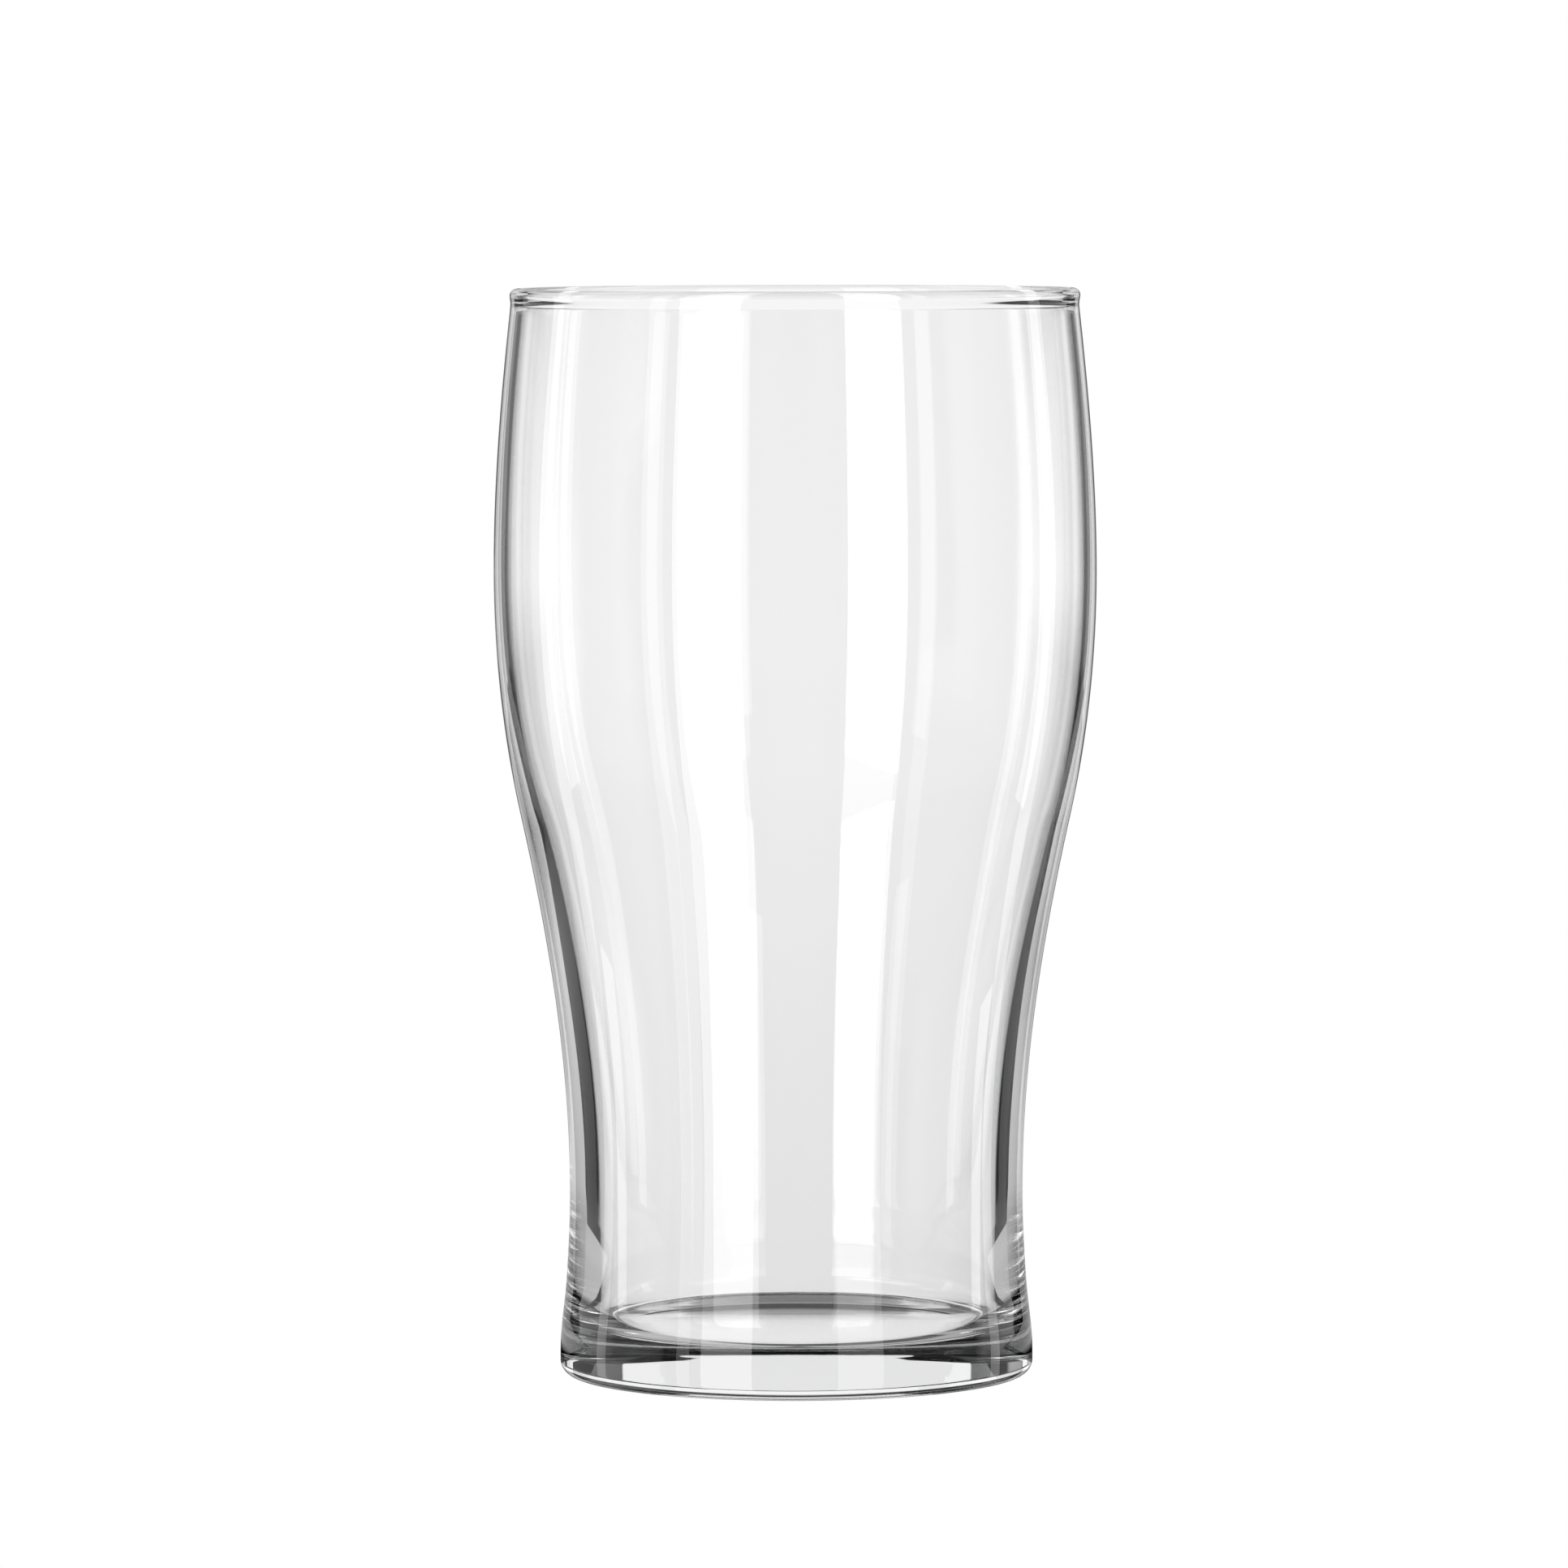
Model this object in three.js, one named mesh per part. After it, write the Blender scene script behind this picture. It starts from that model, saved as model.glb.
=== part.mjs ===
// A waisted pint glass with a round shoulder: one piece of clear soda-lime glass, pressed
// and blown. Millimetres, +Z up. The origin is on the axis, in the plane it stands on.
import * as THREE from 'three';

// The outside, from the foot up. A lean is how far the surface moves outwards for each
// millimetre that it climbs.
const height = 153.3;
const footRadius = 33.4;
const footHeight = 3.4;
const ankleStepIn = 0.9;
const ankleHeight = 13.6;
const ankleLean = -0.068;
const waistRadius = 32;
const waistHeight = 26.5;
const taperRadius = 38.77;
const taperHeight = 79.2;
const taperLean = 0.223;
const shoulderRadius = 42.45;
const shoulderHeight = 113.6;
const neckRadius = 40;
const neckLean = -0.11;

// The wall's thickness, measured level at the same places, and how much it thins for each
// millimetre that it climbs.
const footWall = 5.37;
const footThinning = 0.05;
const ankleWall = 4.47;
const ankleThinning = 0.068;
const waistWall = 3.93;
const waistThinning = 0.01;
const taperWall = 2.45;
const taperThinning = 0.048;
const shoulderWall = 1.86;
const shoulderThinning = 0.006;
const neckWall = 1.5;

// The floor of the bowl, and the underside with the ring that the glass stands on.
const floorThickness = 6.6;
const floorFilletWidth = 2;
const floorFilletHeight = 4;
const heelRadius = 2;
const standingRingWidth = 1.4;
const undersideHollow = 0.8;

// The fire-polished lip: a round bead, a little thicker than the wall that carries it, and
// how far it stands out past the neck.
const lipRadius = 1;
const lipProud = 0.12;
const lipBlendAngle = THREE.MathUtils.degToRad(9);
const lipBlendHeight = 1.4;

// How finely the round shape is cut into flat faces.
const segmentsAround = 72;
const wallPitch = 12;
const blendSteps = 2;
const arcSteps = 5;
const lipSteps = 8;

// Places that follow from the sizes above.
const lipCentre = new THREE.Vector2(neckRadius + lipProud - lipRadius, height - lipRadius);
const blendTop = lipCentre.y - lipRadius * Math.sin(lipBlendAngle);
const neckHeight = blendTop - lipBlendHeight;
const blendReach = lipRadius * Math.cos(lipBlendAngle);
const blendLean = Math.tan(lipBlendAngle);
const filletTop = floorThickness + floorFilletHeight;

/** A height, the value of a size there, and how fast the value grows with height. */
function station(z, value, slope = 0) {
  return { z, value, slope };
}

const outside = [
  station(footHeight, footRadius),
  station(ankleHeight, footRadius - ankleStepIn, ankleLean),
  station(waistHeight, waistRadius),
  station(taperHeight, taperRadius, taperLean),
  station(shoulderHeight, shoulderRadius),
  station(neckHeight, neckRadius, neckLean),
];

const walls = [
  station(footHeight, footWall, -footThinning),
  station(ankleHeight, ankleWall, -ankleThinning),
  station(waistHeight, waistWall, -waistThinning),
  station(taperHeight, taperWall, -taperThinning),
  station(shoulderHeight, shoulderWall, -shoulderThinning),
  station(neckHeight, neckWall),
];

/** A cubic curve between two stations that keeps the slope of each. */
function span(from, to) {
  const third = (to.z - from.z) / 3;
  return new THREE.CubicBezierCurve(
    new THREE.Vector2(from.value, from.z),
    new THREE.Vector2(from.value + from.slope * third, from.z + third),
    new THREE.Vector2(to.value - to.slope * third, to.z - third),
    new THREE.Vector2(to.value, to.z),
  );
}

/** The value that a row of stations gives at a height between its ends. */
function valueAt(stations, z) {
  const last = stations.length - 1;
  const next = Math.max(1, stations.findIndex((stop, i) => i === last || z <= stop.z));
  const [from, to] = [stations[next - 1], stations[next]];
  return span(from, to).getPoint((z - from.z) / (to.z - from.z)).x;
}

/** The radius of the bowl at a height: the outside less the wall. */
function bowlRadius(z) {
  return valueAt(outside, z) - valueAt(walls, z);
}

/** Heights from a level up to the neck that take in each station, at most a pitch apart. */
function levels(start) {
  const stops = [start, ...outside.map((stop) => stop.z).filter((z) => z > start)];
  return stops.flatMap((z, i) => {
    const from = stops[Math.max(0, i - 1)];
    const steps = Math.max(1, Math.ceil((z - from) / wallPitch));
    return Array.from({ length: steps }, (_, step) => from + ((z - from) * (step + 1)) / steps);
  });
}

/** The points of an elliptical arc, its angles measured from the outward level. */
function arc(centre, width, rise, start, end, steps) {
  const curve = new THREE.EllipseCurve(
    centre.x, centre.y, width, rise, start, end, end < start,
  );
  return curve.getPoints(steps);
}

/** The underside: a shallow bowl-shaped hollow, the standing ring and the rounded heel. */
function underside() {
  const ringOuter = footRadius - heelRadius;
  const ringInner = ringOuter - standingRingWidth;
  const hollow = new THREE.QuadraticBezierCurve(
    new THREE.Vector2(0, undersideHollow),
    new THREE.Vector2(ringInner / 2, undersideHollow),
    new THREE.Vector2(ringInner, 0),
  );
  const heelCentre = new THREE.Vector2(ringOuter, heelRadius);
  return [
    ...hollow.getPoints(arcSteps),
    ...arc(heelCentre, heelRadius, heelRadius, -Math.PI / 2, 0, arcSteps),
  ];
}

/** The outside wall, from the foot to the neck. */
function outsideWall() {
  return levels(footHeight).map((z) => new THREE.Vector2(valueAt(outside, z), z));
}

/** The lip: its blend out of the neck, the bead, and its blend into the bowl. */
function lip() {
  const neckOutside = station(neckHeight, neckRadius, neckLean);
  const neckInside = station(neckHeight, neckRadius - neckWall, neckLean);
  const beadOutside = station(blendTop, lipCentre.x + blendReach, blendLean);
  const beadInside = station(blendTop, lipCentre.x - blendReach, -blendLean);
  return [
    ...span(neckOutside, beadOutside).getPoints(blendSteps),
    ...arc(lipCentre, lipRadius, lipRadius, -lipBlendAngle, Math.PI + lipBlendAngle, lipSteps),
    ...span(neckInside, beadInside).getPoints(blendSteps).reverse(),
  ];
}

/** The bowl: its wall from the neck down, the floor's fillet, and the floor to the axis. */
function bowl() {
  const filletCentre = new THREE.Vector2(bowlRadius(filletTop) - floorFilletWidth, filletTop);
  return [
    ...levels(filletTop).reverse().map((z) => new THREE.Vector2(bowlRadius(z), z)),
    ...arc(filletCentre, floorFilletWidth, floorFilletHeight, 0, -Math.PI / 2, arcSteps),
    new THREE.Vector2(0, floorThickness),
  ];
}

/** The closed outline, from the axis under the foot round to the axis on the floor. */
function outline() {
  const points = [...underside(), ...outsideWall(), ...lip(), ...bowl()];
  const closest = 1e-4;
  return points.filter((point, i) => i === 0 || point.distanceTo(points[i - 1]) > closest);
}

/** The glass, turned on its axis and stood upright. */
function makeGlass() {
  const geometry = new THREE.LatheGeometry(outline(), segmentsAround);
  geometry.rotateX(Math.PI / 2);
  const clearGlass = new THREE.MeshStandardMaterial({
    color: '#e4e8e8', roughness: 0.03, metalness: 0, transparent: true, opacity: 0.3,
  });
  const mesh = new THREE.Mesh(geometry, clearGlass);
  mesh.name = 'glass';
  return mesh;
}

const pintGlass = new THREE.Group();
pintGlass.add(makeGlass());

export default pintGlass;
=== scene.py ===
"""A waisted pint glass in clear soda-lime glass, standing in a plain white studio.

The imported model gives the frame. Here the glass becomes one smooth closed surface worked out on
a grid, with the small faults that pressed and blown glass keeps. Clear glass shows only the room
round it, so the room has two sides: white where it is looked at, straight or through the wall,
and dark with white fields in it where the glass mirrors it, inside or out. Five diffused panels
give the bright strips. Lengths in the classes are millimetres, and metres in the scene.
"""

import logging
import math
from collections.abc import Sequence
from dataclasses import dataclass, field
from enum import Enum, auto

import bpy
import numpy as np
from mathutils import Matrix, Vector


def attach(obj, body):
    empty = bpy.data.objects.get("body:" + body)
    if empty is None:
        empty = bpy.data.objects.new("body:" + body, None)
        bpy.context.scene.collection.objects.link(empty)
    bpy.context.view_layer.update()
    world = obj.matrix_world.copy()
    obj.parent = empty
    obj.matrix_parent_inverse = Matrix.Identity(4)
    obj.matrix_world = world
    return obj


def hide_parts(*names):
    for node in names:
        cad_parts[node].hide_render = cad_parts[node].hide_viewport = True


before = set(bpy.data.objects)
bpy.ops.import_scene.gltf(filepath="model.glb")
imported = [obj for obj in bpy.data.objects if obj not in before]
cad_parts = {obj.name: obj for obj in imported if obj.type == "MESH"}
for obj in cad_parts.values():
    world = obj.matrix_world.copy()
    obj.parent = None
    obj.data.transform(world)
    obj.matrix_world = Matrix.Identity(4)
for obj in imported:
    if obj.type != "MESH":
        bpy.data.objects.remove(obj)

LOG = logging.getLogger("pint_glass")
MILLIMETRE = 0.001
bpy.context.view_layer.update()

# Settings that many nodes share.
TIMES = {"operation": "MULTIPLY"}
TIMES_AND_PLUS = {"operation": "MULTIPLY_ADD"}
PLUS = {"operation": "ADD"}
LESS = {"operation": "SUBTRACT"}
OVER = {"operation": "DIVIDE"}
LARGER = {"operation": "MAXIMUM"}
ABOVE = {"operation": "GREATER_THAN"}
LENGTH = {"operation": "LENGTH"}
SMOOTH = {"interpolation_type": "SMOOTHSTEP"}


def linear(colour: str) -> tuple[float, float, float, float]:
    """Turn an sRGB hex colour into the linear colour that a shader works in.

    Args:
        colour: Six hex digits after a hash, such as "#e4e8e8".

    Returns:
        Linear red, green and blue, and an alpha of one.
    """
    encoded = np.array([int(colour[i:i + 2], 16) for i in (1, 3, 5)]) / 255.0
    low = encoded / 12.92
    high = ((encoded + 0.055) / 1.055) ** 2.4
    red, green, blue = np.where(encoded <= 0.04045, low, high)
    return float(red), float(green), float(blue), 1.0


def cosine(degrees: float) -> float:
    """The cosine of an angle in degrees."""
    return math.cos(math.radians(degrees))


def by_cosine(*stops: tuple[float, float]) -> tuple[tuple[float, float], ...]:
    """Stops whose second number is an angle in degrees, with its cosine in its place."""
    return tuple((read, cosine(angle)) for read, angle in stops)


def add_node(
    tree: bpy.types.NodeTree,
    kind: str,
    settings: dict[str, object] | None = None,
    inputs: dict[str | int, object] | Sequence[object] = (),
    stops: Sequence[tuple[float, float]] = (),
) -> bpy.types.Node:
    """Add a node, set it up and link it.

    Args:
        tree: The node tree that it joins.
        kind: The node's type name.
        settings: Values of the node's own properties.
        inputs: What each socket gets, by its name or number or in the sockets' order. It is a
            plain value, the output that feeds the socket, or the node whose first output does.
        stops: For a colour ramp, up to 32 pairs of what is read and the grey that comes of it,
            in rising order. The first is put at the ramp's start and the last at its end.

    Returns:
        The new node.
    """
    node = tree.nodes.new(kind)
    for name, value in (settings or {}).items():
        setattr(node, name, value)
    for name, value in (inputs if isinstance(inputs, dict) else dict(enumerate(inputs))).items():
        if isinstance(value, bpy.types.Node):
            value = value.outputs[0]
        if isinstance(value, bpy.types.NodeSocket):
            tree.links.new(value, node.inputs[name])
        else:
            node.inputs[name].default_value = value
    if stops:
        first, last = stops[0][0], stops[-1][0]
        elements = node.color_ramp.elements
        while len(elements) < len(stops):
            elements.new(0.5)
        for element, (read, grey) in zip(elements, stops):
            element.position = (read - first) / (last - first)
            element.color = (grey, grey, grey, 1.0)
    return node


class Reading(Enum):
    """What an edge or a curve is worked out from."""

    GRIT = auto()  # A speckle, from 0 to 1.
    HEIGHT = auto()  # Metres above the table.
    OUT = auto()  # Metres from the glass's axis.
    UP = auto()  # The sine of the angle up from level.
    BEHIND = auto()  # The cosine of the bearing from straight behind the glass.
    FOURFOLD = auto()  # The cosine of four times the bearing.
    IN_FIELD = auto()  # How far inside one of the four white fields, from 0 to 1.
    PAST_BACK = auto()  # How far BEHIND is inside the back field's edge.
    PAST_SIDE = auto()  # The same for the field beside the glass.
    PAST_GAP = auto()  # The same for the far side of the dark gap on the table.


Readings = dict[Reading, bpy.types.NodeSocket | bpy.types.Node]


@dataclass(frozen=True)
class Curve:
    """A size that follows a reading in straight pieces from stop to stop."""

    reads: Reading
    stops: tuple[tuple[float, float], ...]

    def add(self, tree: bpy.types.NodeTree, readings: Readings) -> bpy.types.Node:
        """Add the curve's nodes: the reading's share of the way along, and the size there.

        Args:
            tree: The node tree that they join.
            readings: The outputs that give the readings.

        Returns:
            The node whose first output is the size.
        """
        share = add_node(
            tree, "ShaderNodeMapRange",
            inputs=(readings[self.reads], self.stops[0][0], self.stops[-1][0]),
        )
        return add_node(tree, "ShaderNodeValToRGB", inputs=(share,), stops=self.stops)


@dataclass(frozen=True)
class Edge:
    """A soft edge: a smooth step from low where a reading starts it to high where it ends it."""

    reads: Reading
    start: float
    end: float
    low: float = 0.0
    high: float | Curve = 1.0

    def add(self, tree: bpy.types.NodeTree, readings: Readings) -> bpy.types.Node:
        """Add the edge's node.

        Args:
            tree: The node tree that it joins.
            readings: The outputs that give the readings.

        Returns:
            The node whose first output is the step.
        """
        high = self.high.add(tree, readings) if isinstance(self.high, Curve) else self.high
        return add_node(
            tree, "ShaderNodeMapRange", SMOOTH,
            (readings[self.reads], self.start, self.end, self.low, high),
        )


@dataclass(frozen=True)
class Region:
    """A region with soft edges: its parts times each other, and times one less its hollow."""

    parts: tuple[Edge | Curve, ...]
    hollow: "Region | None" = None

    def add(self, tree: bpy.types.NodeTree, readings: Readings) -> bpy.types.Node:
        """Add the region's nodes.

        Args:
            tree: The node tree that they join.
            readings: The outputs that give the readings.

        Returns:
            The node whose first output is how much the region shows.
        """
        region, *others = [part.add(tree, readings) for part in self.parts]
        if self.hollow:
            hollow = self.hollow.add(tree, readings)
            others.append(add_node(tree, "ShaderNodeMath", LESS, (1.0, hollow)))
        for other in others:
            region = add_node(tree, "ShaderNodeMath", TIMES, (region, other))
        return region


@dataclass(frozen=True)
class Station:
    """A height, the value of a size there, and how fast the value grows with height."""

    z: float
    value: float
    slope: float = 0.0


def value_at(stations: Sequence[Station], z: np.ndarray) -> np.ndarray:
    """Work out a size at heights between stations.

    Between two stations the value is the cubic of height that meets the value and the slope of
    both: with t from 0 to 1 and span h, it is the sum of the two values and the two slopes times
    h, each times its Hermite weight.

    Args:
        stations: The stations, from the lowest up.
        z: The heights.

    Returns:
        The value at each height.
    """
    heights, values, slopes = np.array([(s.z, s.value, s.slope) for s in stations]).T
    k = np.clip(np.searchsorted(heights, z, side="right") - 1, 0, len(heights) - 2)
    rise = heights[k + 1] - heights[k]
    t = (z - heights[k]) / rise
    start_value = (1 + 2 * t) * (1 - t) ** 2
    start_slope = t * (1 - t) ** 2
    end_value = t ** 2 * (3 - 2 * t)
    end_slope = t ** 2 * (t - 1)
    return (
        start_value * values[k] + end_value * values[k + 1]
        + rise * (start_slope * slopes[k] + end_slope * slopes[k + 1])
    )


def closed_revolution(
    name: str, rings: np.ndarray, first_pole: np.ndarray, last_pole: np.ndarray,
) -> bpy.types.Object:
    """Make a mesh from rings of points that run round the axis, closed at both ends.

    Each pair of neighbouring rings is joined by one quad for each step round, and each end ring
    is joined to its pole by a fan of triangles. Rings that start under the foot, climb the
    outside and come down the inside give faces that point out of the glass.

    Args:
        name: The name of the object and its mesh.
        rings: Points in millimetres, indexed by ring, step round and axis.
        first_pole: The point that closes the first ring.
        last_pole: The point that closes the last ring.

    Returns:
        The new object, linked to the scene, with its place in its mesh.
    """
    count, around = rings.shape[:2]
    points = np.vstack([rings.reshape(-1, 3), first_pole, last_pole]) * MILLIMETRE
    step = np.arange(around)
    following = (step + 1) % around
    base = np.arange(count - 1)[:, None] * around
    quads = np.stack(
        [base + step, base + following, base + around + following, base + around + step], axis=-1,
    ).reshape(-1, 4)
    first, last = count * around, count * around + 1
    top = (count - 1) * around
    first_fan = np.stack([np.full(around, first), following, step], axis=-1)
    last_fan = np.stack([np.full(around, last), top + step, top + following], axis=-1)
    mesh = bpy.data.meshes.new(name)
    mesh.from_pydata(points.tolist(), [], quads.tolist() + first_fan.tolist() + last_fan.tolist())
    mesh.polygons.foreach_set("use_smooth", np.ones(len(mesh.polygons), dtype=bool))
    mesh.update()
    mesh.validate()
    thing = bpy.data.objects.new(name, mesh)
    bpy.context.scene.collection.objects.link(thing)
    return thing


@dataclass(frozen=True)
class ClearGlass:
    """Clear soda-lime glass, pressed and blown, then fire-polished.

    It shows the eye an almost colourless body with a very faint green-grey in its thickest
    parts, mirror-smooth skin with a slow waviness left by the mould, and a frosted hair of wear
    on the ring that it stands on. Waves, grain and marks are sized in millimetres, and each
    depth is how far the skin rises and falls.
    """

    index: float = 1.52
    body: str = "#dfe8e4"
    density: float = 1.2
    # Grit from tables: a speckle of fine scratches, only on the standing ring.
    wear_roughness: float = 0.28
    wear_grain: float = 0.25
    wear_detail: float = 3.0
    worn: Region = Region((
        Edge(Reading.GRIT, 0.42, 0.62), Edge(Reading.HEIGHT, 0.35 * MILLIMETRE, 0.0),
    ))
    skin_wave: float = 14.0
    skin_depth: float = 0.004
    # The wall above the heavy foot chills unevenly, so it ripples a little more there.
    chill_wave: float = 8.0
    chill_depth: float = 0.008
    chilled: Region = Region((
        Edge(Reading.HEIGHT, 6.0 * MILLIMETRE, 10.0 * MILLIMETRE),
        Edge(Reading.HEIGHT, 34.0 * MILLIMETRE, 20.4 * MILLIMETRE),
    ))
    wave_detail: float = 1.0
    # The mould was brushed out from its middle, which left fine marks inside the ring.
    brush_marks: float = 60.0
    brush_length: float = 6.0
    brush_depth: float = 0.02
    brush_detail: float = 2.0
    brushed: Region = Region((
        Edge(Reading.HEIGHT, 1.0 * MILLIMETRE, 0.6 * MILLIMETRE),
        Edge(Reading.OUT, 25.0 * MILLIMETRE, 30.5 * MILLIMETRE),
    ))

    def material(self) -> bpy.types.Material:
        """Build the glass's material.

        The brush marks are a speckle that is stretched along each spoke: it reads the spoke's
        level direction times the number of marks, and the way out over their length.

        Returns:
            The material, which reads Object coordinates.
        """
        material = bpy.data.materials.new("soda_lime_glass")
        material.use_nodes = True
        tree = material.node_tree
        tree.nodes.clear()
        place = add_node(tree, "ShaderNodeTexCoord").outputs["Object"]
        east, north, height = add_node(tree, "ShaderNodeSeparateXYZ", inputs=(place,)).outputs
        flat = add_node(tree, "ShaderNodeCombineXYZ", inputs=(east, north))
        out = add_node(tree, "ShaderNodeVectorMath", LENGTH, (flat,)).outputs["Value"]
        grit, wave, chill = (
            add_node(
                tree, "ShaderNodeTexNoise",
                inputs={"Vector": place, "Scale": 1.0 / (size * MILLIMETRE), "Detail": detail},
            )
            for size, detail in (
                (self.wear_grain, self.wear_detail), (self.skin_wave, self.wave_detail),
                (self.chill_wave, self.wave_detail),
            )
        )
        readings = {Reading.GRIT: grit, Reading.HEIGHT: height, Reading.OUT: out}
        worn, chilled, brushed = (
            region.add(tree, readings) for region in (self.worn, self.chilled, self.brushed)
        )
        roughness = add_node(tree, "ShaderNodeMath", TIMES, (worn, self.wear_roughness))

        spoke = add_node(tree, "ShaderNodeVectorMath", {"operation": "NORMALIZE"}, (flat,))
        lengths = add_node(tree, "ShaderNodeMath", OVER, (out, self.brush_length * MILLIMETRE))
        along = add_node(tree, "ShaderNodeCombineXYZ", inputs={"Z": lengths})
        stretched = add_node(
            tree, "ShaderNodeVectorMath", TIMES_AND_PLUS, (spoke, (self.brush_marks,) * 3, along),
        )
        marks = add_node(
            tree, "ShaderNodeTexNoise",
            inputs={"Vector": stretched, "Scale": 1.0, "Detail": self.brush_detail},
        )

        ripples = add_node(tree, "ShaderNodeMath", TIMES, (chill, chilled))
        strokes = add_node(tree, "ShaderNodeMath", TIMES, (marks, brushed))
        relief: object = 0.0
        for pattern, depth in (
            (strokes, self.brush_depth), (ripples, self.chill_depth), (wave, self.skin_depth),
        ):
            relief = add_node(tree, "ShaderNodeMath", TIMES_AND_PLUS, (pattern, depth, relief))
        skin = add_node(
            tree, "ShaderNodeBump",
            inputs={"Height": relief, "Strength": 1.0, "Distance": MILLIMETRE},
        )
        shader = add_node(
            tree, "ShaderNodeBsdfPrincipled",
            inputs={
                "Base Color": linear("#ffffff"),
                "Roughness": roughness,
                "IOR": self.index,
                "Transmission Weight": 1.0,
                "Normal": skin,
            },
        )
        tint = add_node(
            tree, "ShaderNodeVolumeAbsorption",
            inputs={"Color": linear(self.body), "Density": self.density},
        )
        add_node(
            tree, "ShaderNodeOutputMaterial", inputs={"Surface": shader, "Volume": tint},
        )
        return material


@dataclass
class PintGlass:
    """The glass: one piece, from the ring it stands on to its fire-polished lip."""

    height: float = 153.3
    foot_radius: float = 33.4
    floor_thickness: float = 6.6
    floor_fillet_width: float = 2.0
    floor_fillet_height: float = 4.0
    heel_radius: float = 2.0
    standing_ring_width: float = 1.4
    underside_hollow: float = 0.8
    lip_radius: float = 1.0
    lip_proud: float = 0.12
    lip_blend_angle: float = math.radians(9)
    lip_blend_height: float = 1.4
    neck_radius: float = 40.0
    neck_lean: float = -0.11
    neck_wall: float = 1.5
    outside: list[Station] = field(default_factory=lambda: [
        Station(3.4, 33.4),
        Station(13.6, 32.5, -0.068),
        Station(26.5, 32.0),
        Station(79.2, 38.77, 0.223),
        Station(113.6, 42.45),
    ])
    walls: list[Station] = field(default_factory=lambda: [
        Station(3.4, 5.37, -0.05),
        Station(13.6, 4.47, -0.068),
        Station(26.5, 3.93, -0.01),
        Station(79.2, 2.45, -0.048),
        Station(113.6, 1.86, -0.006),
    ])
    # How far the plunger stood off the mould's axis, and where it shows the most.
    bowl_drift: float = 0.13
    bowl_sway: float = 0.16
    bowl_sway_height: float = 69.0
    bowl_sway_reach: float = 15.0
    # How finely the surface is cut: steps round, and points along each part of the outline.
    around: int = 256
    hollow_points: int = 40
    ring_points: int = 5
    heel_points: int = 20
    side_points: int = 130
    blend_points: int = 10
    bead_points: int = 30
    wall_points: int = 110
    fillet_points: int = 16
    floor_points: int = 26
    finish: ClearGlass = field(default_factory=ClearGlass)

    def __post_init__(self) -> None:
        """Work out the sizes that follow from the others, and close the rows of stations."""
        self.lip_centre = (
            self.neck_radius + self.lip_proud - self.lip_radius, self.height - self.lip_radius,
        )
        self.blend_top = self.lip_centre[1] - self.lip_radius * math.sin(self.lip_blend_angle)
        self.neck_height = self.blend_top - self.lip_blend_height
        self.outside.append(Station(self.neck_height, self.neck_radius, self.neck_lean))
        self.walls.append(Station(self.neck_height, self.neck_wall))

    def bowl_radius(self, z: np.ndarray) -> np.ndarray:
        """The radius of the bowl at heights: the outside less the wall."""
        return value_at(self.outside, z) - value_at(self.walls, z)

    def arc(
        self, centre: tuple[float, float], width: float, rise: float,
        start: float, end: float, count: int,
    ) -> np.ndarray:
        """The radii and heights of an elliptical arc, its angles measured from outwards."""
        angle = np.radians(np.linspace(start, end, count))
        return np.stack([centre[0] + width * np.cos(angle), centre[1] + rise * np.sin(angle)])

    def underside(self) -> np.ndarray:
        """Work out the hollow, a parabola of radius, the standing ring and the round heel.

        Returns:
            Their radii and heights, from the axis out and up to the heel's top.
        """
        ring_outer = self.foot_radius - self.heel_radius
        ring_inner = ring_outer - self.standing_ring_width
        r = ring_inner * np.linspace(0.0, 1.0, self.hollow_points)[1:]
        hollow = np.stack([r, self.underside_hollow * (1.0 - (r / ring_inner) ** 2)])
        ring_r = np.linspace(ring_inner, ring_outer, self.ring_points)[1:-1]
        ring = np.stack([ring_r, np.zeros_like(ring_r)])
        heel = self.arc(
            (ring_outer, self.heel_radius), self.heel_radius, self.heel_radius, -90, 0,
            self.heel_points,
        )
        return np.hstack([hollow, ring, heel])

    def lip(self) -> np.ndarray:
        """Work out the blend out of the neck, the round bead, and the blend into the bowl.

        Returns:
            Their radii and heights, from the neck's outside over the lip to its inside.
        """
        reach = self.lip_radius * math.cos(self.lip_blend_angle)
        lean = math.tan(self.lip_blend_angle)
        z = np.linspace(self.neck_height, self.blend_top, self.blend_points)[1:-1]
        neck_inside = self.neck_radius - self.neck_wall
        outer = [
            Station(self.neck_height, self.neck_radius, self.neck_lean),
            Station(self.blend_top, self.lip_centre[0] + reach, lean),
        ]
        inner = [
            Station(self.neck_height, neck_inside, self.neck_lean),
            Station(self.blend_top, self.lip_centre[0] - reach, -lean),
        ]
        start = math.degrees(self.lip_blend_angle)
        bead = self.arc(
            self.lip_centre, self.lip_radius, self.lip_radius, -start, 180 + start,
            self.bead_points,
        )
        return np.hstack([
            np.stack([value_at(outer, z), z]),
            bead,
            np.stack([value_at(inner, z), z])[:, ::-1],
        ])

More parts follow.
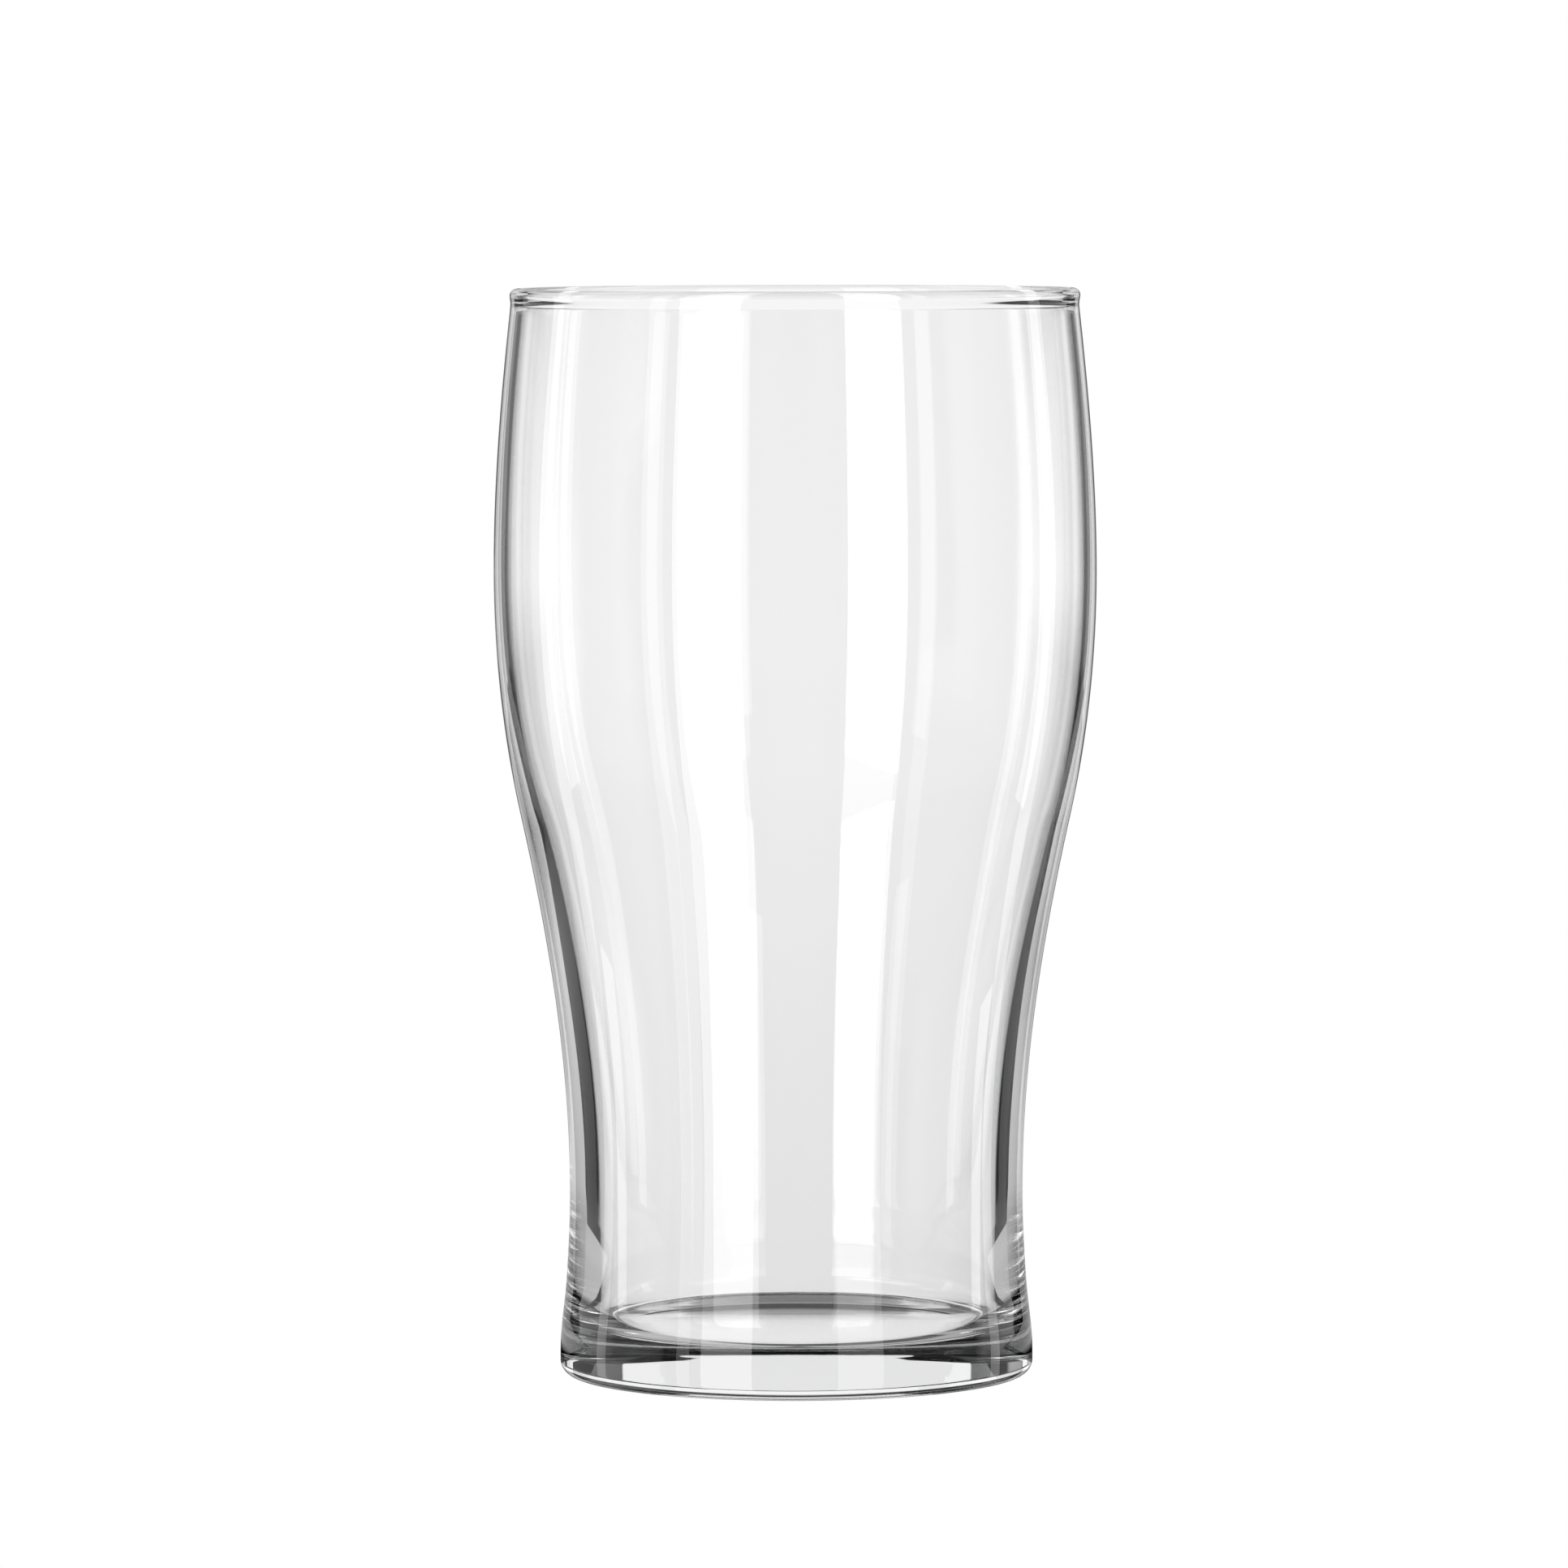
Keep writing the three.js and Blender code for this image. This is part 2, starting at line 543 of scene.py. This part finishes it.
    def outline(self) -> tuple[np.ndarray, np.ndarray]:
        """Work out the closed outline, from under the foot, up the outside and down the bowl.

        Returns:
            Radii and heights, and for each point how much it belongs to the bowl, from 0 to 1.
        """
        foot_height = self.outside[0].z
        side_z = np.linspace(foot_height, self.neck_height, self.side_points)
        side = np.stack([value_at(self.outside, side_z), side_z])
        fillet_top = self.floor_thickness + self.floor_fillet_height
        bowl_z = np.linspace(self.neck_height, fillet_top, self.wall_points)
        wall = np.stack([self.bowl_radius(bowl_z), bowl_z])
        centre = (wall[0, -1] - self.floor_fillet_width, fillet_top)
        fillet = self.arc(
            centre, self.floor_fillet_width, self.floor_fillet_height, 0, -90, self.fillet_points,
        )
        floor_r = centre[0] * np.linspace(1.0, 0.0, self.floor_points)[1:-1]
        floor = np.stack([floor_r, np.full_like(floor_r, self.floor_thickness)])
        below, lip = self.underside(), self.lip()
        points = np.hstack([below, side, lip, wall, fillet[:, 1:], floor])
        outer = below.shape[1] + side.shape[1]
        belongs = np.ones(points.shape[1])
        belongs[:outer] = 0.0
        belongs[outer:outer + lip.shape[1]] = np.linspace(0.0, 1.0, lip.shape[1])
        return points, belongs

    def build(self) -> bpy.types.Object:
        """Build and dress the glass.

        The surface is the outline turned about the axis, in whole grids of outline point by
        step round. The bowl's part of it is moved towards +X by the drift, and by the sway
        times a bell curve of height.

        Returns:
            The glass's object.
        """
        (radius, z), belongs = self.outline()
        angle = np.linspace(0.0, 2.0 * math.pi, self.around, endpoint=False)
        bell = np.exp(-((z - self.bowl_sway_height) / self.bowl_sway_reach) ** 2)
        shift = belongs * (self.bowl_drift + self.bowl_sway * bell)
        x = radius[:, None] * np.cos(angle) + shift[:, None]
        y = radius[:, None] * np.sin(angle)
        rings = np.stack([x, y, np.broadcast_to(z[:, None], x.shape)], axis=-1)
        thing = closed_revolution(
            "pint_glass", rings,
            np.array([0.0, 0.0, self.underside_hollow]),
            np.array([shift[-1], 0.0, self.floor_thickness]),
        )
        thing.data.materials.append(self.finish.material())
        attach(thing, "root")
        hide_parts("glass")
        LOG.info("pint_glass: %d faces, %d rings", len(thing.data.polygons), len(radius))
        return thing


class Side(Enum):
    """The side of the camera that a panel stands on, as a sign for its angle."""

    LEFT = -1
    RIGHT = 1


@dataclass(frozen=True)
class Panel:
    """One diffused light panel, upright, facing the glass.

    Angles are degrees round the glass from the camera's direction, and degrees up from level,
    as seen from the middle of the glass. The brightness is what the glass mirrors, where white
    is one, and the distance is millimetres from the axis.
    """

    name: str
    side: Side
    nearest: float
    furthest: float
    bottom: float
    top: float
    brightness: float
    distance: float = 1600.0

    def build(self, middle: float) -> bpy.types.Object:
        """Hang the panel.

        Args:
            middle: The height of the middle of the glass.

        Returns:
            The light's object.
        """
        centre = math.radians((self.nearest + self.furthest) / 2.0) * self.side.value
        half = math.radians((self.furthest - self.nearest) / 2.0)
        low = self.distance * math.tan(math.radians(self.bottom))
        high = self.distance * math.tan(math.radians(self.top))
        light = bpy.data.lights.new(self.name, "AREA")
        light.shape = "RECTANGLE"
        light.size = 2.0 * self.distance * math.tan(half) * MILLIMETRE
        light.size_y = (high - low) * MILLIMETRE
        light.energy = self.brightness * math.pi * light.size * light.size_y
        thing = bpy.data.objects.new(self.name, light)
        outwards = Vector((math.sin(centre), -math.cos(centre), 0.0))
        place = outwards * self.distance + Vector((0.0, 0.0, middle + (low + high) / 2.0))
        thing.matrix_world = (
            Matrix.Translation(place * MILLIMETRE)
            @ outwards.to_track_quat("Z", "Y").to_matrix().to_4x4()
        )
        thing.visible_camera = False
        bpy.context.scene.collection.objects.link(thing)
        LOG.info("panel %s: %.2f x %.2f m", self.name, light.size, light.size_y)
        return thing


@dataclass(frozen=True)
class WhiteRoom:
    """The room round the glass, as clear glass shows it.

    What looks straight at it meets plain white. What has passed through the glass meets white, a
    tenth darker in the gaps between four fields a quarter turn apart, and dark from about 17
    degrees up. What the glass has mirrored, inside or out, meets a dark room with white fields.
    Each soft edge of a field is an Edge, and each field is a Region.
    """

    # How wide the back field is at each angle up, as the bearing of its edge.
    reach: Curve = Curve(Reading.UP, by_cosine(
        (-0.2, 24), (-0.1, 23.2), (-0.04, 21.5), (0.06, 21.5), (0.105, 36),
        (0.16, 36), (0.22, 20), (0.3, 18), (0.4, 23), (0.6, 28),
    ))
    field_edge: Edge = Edge(Reading.FOURFOLD, 0.02, 0.08)
    through: Region = Region((
        Edge(Reading.IN_FIELD, 0.0, 1.0, 0.9, 1.0), Edge(Reading.UP, 0.315, 0.285, 0.06, 1.0),
    ))
    # The white field behind the glass, darker in its core.
    back: Region = Region(
        (Edge(Reading.PAST_BACK, -0.004, 0.004, 0.0, 0.85), Edge(Reading.UP, 0.68, 0.62)),
        Region((
            Edge(Reading.BEHIND, cosine(15), cosine(11), 0.0, 0.8),
            Edge(Reading.UP, 0.08, 0.02),
        )),
    )
    # A dimmer field beside the glass, on its left.
    side: Region = Region((
        Edge(Reading.UP, 0.22, 0.1, 0.1, 1.0), Edge(Reading.PAST_SIDE, -0.02, 0.02, 0.0, 0.5),
    ))
    # Light between the back and the sides, which fills the foot.
    fill: Region = Region((
        Edge(Reading.BEHIND, cosine(34), cosine(38)),
        Edge(Reading.BEHIND, cosine(85), cosine(75)),
        Curve(Reading.UP, (
            (-0.5, 0.4), (-0.3, 0.4), (-0.2, 0.25), (-0.12, 0.2), (-0.05, 0.8), (0.05, 0.8),
            (0.1, 0.04), (1.0, 0.04),
        )),
    ))
    # What is left of the light on the dark walls, a little more on the camera's side.
    front: Region = Region((
        Edge(Reading.UP, 0.22, 0.1, 0.1, 1.0),
        Edge(Reading.BEHIND, cosine(100), cosine(60), 0.12, Curve(Reading.UP, (
            (-0.5, 0.01), (-0.17, 0.005), (-0.12, 0.04), (-0.05, 0.12), (0.05, 0.12),
            (0.1, 0.02), (0.5, 0.02),
        ))),
    ))
    ceiling: Region = Region((
        Edge(Reading.UP, 0.62, 0.68, 0.0, 0.9), Edge(Reading.UP, 0.85, 0.81),
        Edge(Reading.BEHIND, cosine(66), cosine(60)),
    ))
    zenith: Edge = Edge(Reading.UP, 0.9, 0.8, 0.03, 1.0)
    # The least square of the level part of a direction, so that straight up has a bearing too.
    least_level: float = 1e-6

    def readings(self, tree: bpy.types.NodeTree) -> Readings:
        """Add the nodes that read a ray's direction.

        A bearing comes as a cosine: a level part of the direction over the root of the sum of
        both parts' squares. The four fields come from the cosine of four times the bearing,
        which is one less eight times the two squares' product over their sum squared.

        Args:
            tree: The world's node tree.

        Returns:
            The output for each reading of the room.
        """
        way = add_node(tree, "ShaderNodeTexCoord").outputs["Generated"]
        east, north, up = add_node(tree, "ShaderNodeSeparateXYZ", inputs=(way,)).outputs
        east2, north2 = (
            add_node(tree, "ShaderNodeMath", TIMES, (part, part)) for part in (east, north)
        )
        sum2 = add_node(tree, "ShaderNodeMath", PLUS, (east2, north2))
        level2 = add_node(tree, "ShaderNodeMath", LARGER, (sum2, self.least_level))
        level = add_node(tree, "ShaderNodeMath", {"operation": "SQRT"}, (level2,))
        level4 = add_node(tree, "ShaderNodeMath", TIMES, (level2, level2))
        both2 = add_node(tree, "ShaderNodeMath", TIMES, (east2, north2))
        ratio = add_node(tree, "ShaderNodeMath", OVER, (both2, level4))
        fourfold = add_node(tree, "ShaderNodeMath", TIMES_AND_PLUS, (ratio, -8.0, 1.0))
        in_field = self.field_edge.add(tree, {Reading.FOURFOLD: fourfold})
        west = add_node(tree, "ShaderNodeMath", TIMES, (east, -1.0))
        behind, beside = (
            add_node(tree, "ShaderNodeMath", OVER, (part, level)) for part in (north, west)
        )
        reach = self.reach.add(tree, {Reading.UP: up})
        past_back, past_side = (
            add_node(tree, "ShaderNodeMath", LESS, (bearing, reach)) for bearing in (behind, beside)
        )
        return {
            Reading.UP: up, Reading.BEHIND: behind, Reading.IN_FIELD: in_field,
            Reading.PAST_BACK: past_back, Reading.PAST_SIDE: past_side,
        }

    def build(self) -> None:
        """Make the room the scene's world, lit by nothing but its own brightness."""
        world = bpy.data.worlds.new("white_studio")
        bpy.context.scene.world = world
        world.use_nodes = True
        world.cycles.sampling_method = "NONE"
        tree = world.node_tree
        tree.nodes.clear()
        path = add_node(tree, "ShaderNodeLightPath").outputs
        readings = self.readings(tree)
        mirror, *others = (
            region.add(tree, readings)
            for region in (self.back, self.side, self.fill, self.ceiling, self.front)
        )
        for other in others:
            mirror = add_node(tree, "ShaderNodeMath", LARGER, (mirror, other))
        zenith = self.zenith.add(tree, readings)
        mirror = add_node(tree, "ShaderNodeMath", TIMES, (mirror, zenith))
        through = self.through.add(tree, readings)
        mirrored = add_node(tree, "ShaderNodeMath", ABOVE, (path["Glossy Depth"], 0.5))
        seen = add_node(
            tree, "ShaderNodeMix", {"data_type": "FLOAT"}, {0: mirrored, 2: through, 3: mirror},
        )
        brightness = add_node(tree, "ShaderNodeMath", LARGER, (seen, path["Is Camera Ray"]))
        background = add_node(
            tree, "ShaderNodeBackground", inputs=(linear("#ffffff"), brightness),
        )
        add_node(tree, "ShaderNodeOutputWorld", inputs={"Surface": background})


@dataclass(frozen=True)
class PaleTable:
    """The floor: a plain pale sheet, level, which the glass stands on.

    What looks straight at it meets plain white, and what has passed through the glass meets
    near-white with a painted shadow: the sheet glows dimmer the nearer it is to the glass.
    What the glass has mirrored meets a dark table as far as its edge, with the white field
    behind the glass in it. Past the edge, and beyond the dark gap beside that field, what
    the glass has mirrored looks through the sheet at the room. Bearings are degrees.
    """

    sheet: float = 6000.0
    # How wide the white field and the dark gap are at each distance, as bearings of their edges.
    reach: Curve = Curve(Reading.OUT, by_cosine(
        (0.0, 70), (0.11, 70), (0.14, 43.5), (0.15, 42.6), (0.2, 39), (0.24, 35.5),
        (0.28, 33.2), (0.32, 32.2), (0.4, 30.8), (0.5, 28.8), (0.65, 26), (0.87, 23.5),
    ))
    gap_end: Curve = Curve(Reading.OUT, by_cosine(
        (0.0, 75), (0.11, 74), (0.15, 55), (0.23, 52), (0.265, 49.5), (0.285, 46),
        (0.32, 42.5), (0.48, 38.5), (0.87, 33),
    ))
    mirror: Region = Region(
        (
            Edge(Reading.PAST_BACK, -0.006, 0.006),
            Curve(Reading.OUT, (
                (0.0, 0.0), (0.05, 0.0), (0.06, 0.5), (0.11, 0.5), (0.15, 0.45), (0.32, 0.9),
                (0.86, 0.9),
            )),
        ),
        Region((
            Edge(Reading.BEHIND, cosine(15), cosine(11), 0.0, 0.8),
            Edge(Reading.OUT, 0.2, 0.3),
        )),
    )
    table: Region = Region(
        (Edge(Reading.OUT, 860.0 * MILLIMETRE, 946.0 * MILLIMETRE, 1.0, 0.0),),
        Region((Edge(Reading.PAST_GAP, 0.0, -0.05),)),
    )
    # Painted shadow: seen through the glass, the sheet glows dimmer near the glass, from 0.88 at
    # the axis to full white at 0.86 m, in place of the faint shadow the glass casts.
    through: Curve = Curve(Reading.OUT, (
        (0.0, 0.88), (0.25, 0.9), (0.4, 0.92), (0.54, 0.96), (0.86, 1.0),
    ))

    def material(self) -> bpy.types.Material:
        """Build the sheet's material.

        Returns:
            The material, which reads Object coordinates.
        """
        material = bpy.data.materials.new("pale_table")
        material.use_nodes = True
        tree = material.node_tree
        tree.nodes.clear()
        path = add_node(tree, "ShaderNodeLightPath").outputs
        place = add_node(tree, "ShaderNodeTexCoord").outputs["Object"]
        north = add_node(tree, "ShaderNodeSeparateXYZ", inputs=(place,)).outputs["Y"]
        out = add_node(tree, "ShaderNodeVectorMath", LENGTH, (place,)).outputs["Value"]
        behind = add_node(tree, "ShaderNodeMath", OVER, (north, out))
        readings = {Reading.OUT: out, Reading.BEHIND: behind}
        for reading, edge in (
            (Reading.PAST_BACK, self.reach), (Reading.PAST_GAP, self.gap_end),
        ):
            bearing = edge.add(tree, readings)
            readings[reading] = add_node(tree, "ShaderNodeMath", LESS, (behind, bearing))
        # The through curve is the painted shadow round the glass.
        mirror, table, through = (
            part.add(tree, readings) for part in (self.mirror, self.table, self.through)
        )
        mirrored = add_node(tree, "ShaderNodeMath", ABOVE, (path["Glossy Depth"], 0.5))
        seen = add_node(
            tree, "ShaderNodeMix", {"data_type": "FLOAT"}, {0: mirrored, 2: through, 3: mirror},
        )
        brightness = add_node(tree, "ShaderNodeMath", LARGER, (seen, path["Is Camera Ray"]))
        unmirrored = add_node(tree, "ShaderNodeMath", LESS, (1.0, mirrored))
        shown = add_node(tree, "ShaderNodeMath", LARGER, (table, unmirrored))
        light = add_node(tree, "ShaderNodeEmission", inputs=(linear("#ffffff"), brightness))
        clear = add_node(tree, "ShaderNodeBsdfTransparent")
        mix = add_node(tree, "ShaderNodeMixShader", inputs=(shown, clear, light))
        add_node(tree, "ShaderNodeOutputMaterial", inputs={"Surface": mix})
        return material

    def build(self) -> bpy.types.Object:
        """Lay the sheet: one square, level with the glass's foot.

        Returns:
            The floor's object.
        """
        corners = np.array([(-1, -1, 0), (1, -1, 0), (1, 1, 0), (-1, 1, 0)], dtype=float)
        points = corners * self.sheet * MILLIMETRE
        mesh = bpy.data.meshes.new("floor")
        mesh.from_pydata(points.tolist(), [], [(0, 1, 2, 3)])
        mesh.materials.append(self.material())
        floor = bpy.data.objects.new("floor", mesh)
        bpy.context.scene.collection.objects.link(floor)
        return floor


@dataclass
class Studio:
    """The room, the floor, the light panels and the camera."""

    room: WhiteRoom = field(default_factory=WhiteRoom)
    table: PaleTable = field(default_factory=PaleTable)
    panels: list[Panel] = field(default_factory=lambda: [
        Panel("main_panel", Side.LEFT, 21.5, 47.0, -38.0, 15.5, 2.6),
        Panel("side_panel", Side.LEFT, 53.0, 60.0, -36.0, 15.5, 1.2),
        Panel("fill_panel", Side.RIGHT, 19.8, 42.4, -36.0, 15.5, 1.6),
        Panel("left_rim_panel", Side.LEFT, 106.0, 113.5, -20.0, 15.0, 1.3),
        Panel("right_rim_panel", Side.RIGHT, 108.5, 116.5, -20.0, 15.0, 1.3),
    ])
    middle: float = 76.6
    # Light is mirrored many times inside the foot before it leaves.
    bounces: int = 32
    bounces_of_a_kind: int = 24
    # The camera: where it stands, what it looks at, and how it is set.
    distance: float = 1320.0
    eye_height: float = 169.7
    aim_height: float = 83.45
    aim_aside: float = -1.63
    roll: float = -0.1
    lens: float = 215.29
    film_width: float = 36.0
    nearest: float = 10.0
    furthest: float = 100000.0

    def camera(self) -> bpy.types.Object:
        """Set up the camera: a long lens, a little above the lip, looking slightly down.

        Returns:
            The camera's object.
        """
        camera = bpy.data.cameras.new("camera")
        camera.sensor_width = self.film_width
        camera.lens = self.lens
        camera.clip_start = self.nearest * MILLIMETRE
        camera.clip_end = self.furthest * MILLIMETRE
        thing = bpy.data.objects.new("camera", camera)
        eye = Vector((self.aim_aside, -self.distance, self.eye_height))
        aim = Vector((self.aim_aside, 0.0, self.aim_height))
        turn = (aim - eye).to_track_quat("-Z", "Y").to_matrix().to_4x4()
        tilt = Matrix.Rotation(math.radians(self.roll), 4, "Z")
        thing.matrix_world = Matrix.Translation(eye * MILLIMETRE) @ turn @ tilt
        bpy.context.scene.collection.objects.link(thing)
        bpy.context.scene.camera = thing
        return thing

    def build(self) -> None:
        """Build the whole studio."""
        scene = bpy.context.scene
        scene.view_settings.view_transform = "Standard"
        scene.cycles.max_bounces = self.bounces
        scene.cycles.glossy_bounces = self.bounces_of_a_kind
        scene.cycles.transmission_bounces = self.bounces_of_a_kind
        self.room.build()
        self.table.build()
        for panel in self.panels:
            panel.build(self.middle)
        self.camera()


def main() -> None:
    """Build the glass and the studio round it."""
    logging.basicConfig(level=logging.INFO, format="%(name)s %(message)s")
    PintGlass().build()
    Studio().build()


if __name__ == "__main__":
    main()
